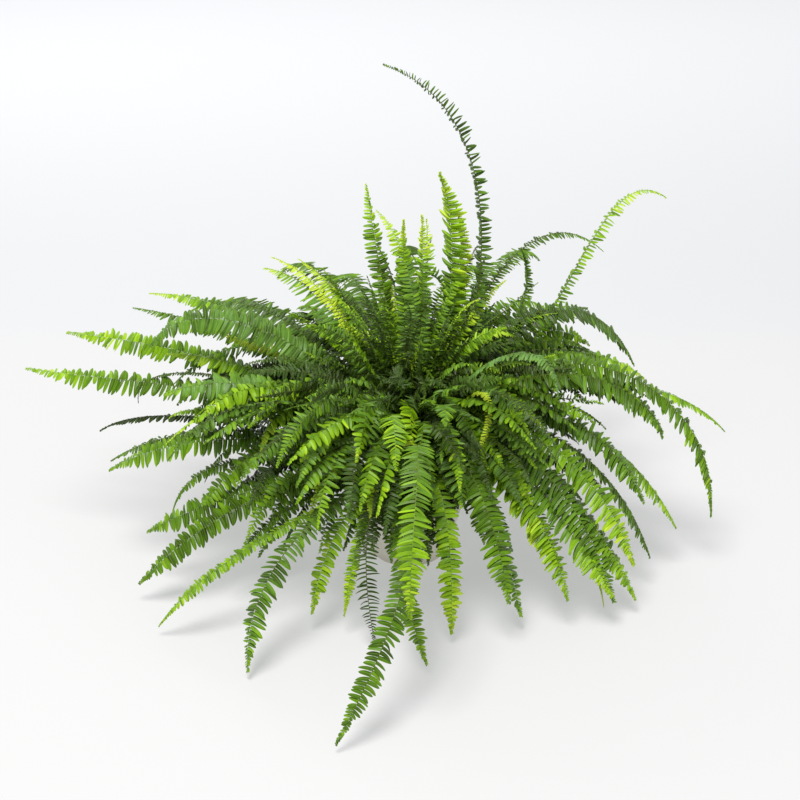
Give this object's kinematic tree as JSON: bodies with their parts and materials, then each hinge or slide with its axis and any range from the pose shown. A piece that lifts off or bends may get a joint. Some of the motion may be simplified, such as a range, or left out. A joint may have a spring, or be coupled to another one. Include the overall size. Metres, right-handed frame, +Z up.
{
  "type": "potted fern",
  "caption": "Boston-type sword fern with long arching toothed fronds growing from a tapered round plastic pot.",
  "frame": {"origin": "centre of the pot's flat base, on the surface it stands on", "axes": "+Z up along the pot's axis; the plant's front faces -Y; +X is to the right seen from the front, towards the longest spread of fronds"},
  "size_m": [1.2669, 1.1401, 0.8623],
  "materials": {
    "pot_plastic": "moulded cream plastic, satin, fine moulding texture",
    "potting_mix": "damp crumbly peat and bark",
    "crown_fibre": "brown scaly rhizome with old stalk stubs",
    "mature_leaf": "waxy mid to dark green leaflets on an olive-brown midrib",
    "young_leaf": "soft yellow-green new growth"
  },
  "bodies": {
    "root": {"pot": "pot_plastic", "soil": "potting_mix", "crown": "crown_fibre", "frond_left_01": "mature_leaf", "frond_left_02": "mature_leaf", "frond_left_03": "young_leaf", "frond_left_04": "mature_leaf", "frond_left_05": "mature_leaf", "frond_left_06": "mature_leaf", "frond_left_07": "mature_leaf", "frond_left_08": "mature_leaf", "frond_left_09": "mature_leaf", "frond_left_10": "mature_leaf", "frond_left_17": "mature_leaf", "frond_left_11": "mature_leaf", "frond_left_12": "mature_leaf", "frond_left_13": "mature_leaf", "frond_left_14": "young_leaf", "frond_left_15": "mature_leaf", "frond_left_16": "mature_leaf", "frond_front_01": "mature_leaf", "frond_front_02": "mature_leaf", "frond_front_03": "young_leaf", "frond_front_04": "mature_leaf", "frond_front_05": "mature_leaf", "frond_front_06": "mature_leaf", "frond_front_07": "young_leaf", "frond_front_08": "mature_leaf", "frond_front_09": "mature_leaf", "frond_front_10": "mature_leaf", "frond_front_11": "mature_leaf", "frond_right_01": "mature_leaf", "frond_right_02": "mature_leaf", "frond_right_03": "mature_leaf", "frond_right_04": "mature_leaf", "frond_right_05": "young_leaf", "frond_right_06": "mature_leaf", "frond_right_07": "mature_leaf", "frond_right_08": "mature_leaf", "frond_right_09": "mature_leaf", "frond_back_01": "mature_leaf", "frond_back_02": "mature_leaf", "frond_back_03": "mature_leaf", "frond_back_04": "mature_leaf", "frond_back_05": "mature_leaf", "frond_back_06": "mature_leaf", "frond_back_07": "mature_leaf", "frond_back_08": "mature_leaf", "frond_back_09": "young_leaf", "frond_back_10": "mature_leaf", "frond_back_11": "mature_leaf", "frond_back_12": "mature_leaf", "frond_back_13": "mature_leaf", "frond_back_14": "mature_leaf", "frond_back_15": "mature_leaf", "frond_back_16": "mature_leaf", "frond_back_17": "mature_leaf", "frond_top_01": "young_leaf", "frond_top_02": "mature_leaf", "frond_top_03": "young_leaf"}
  },
  "joints": []
}
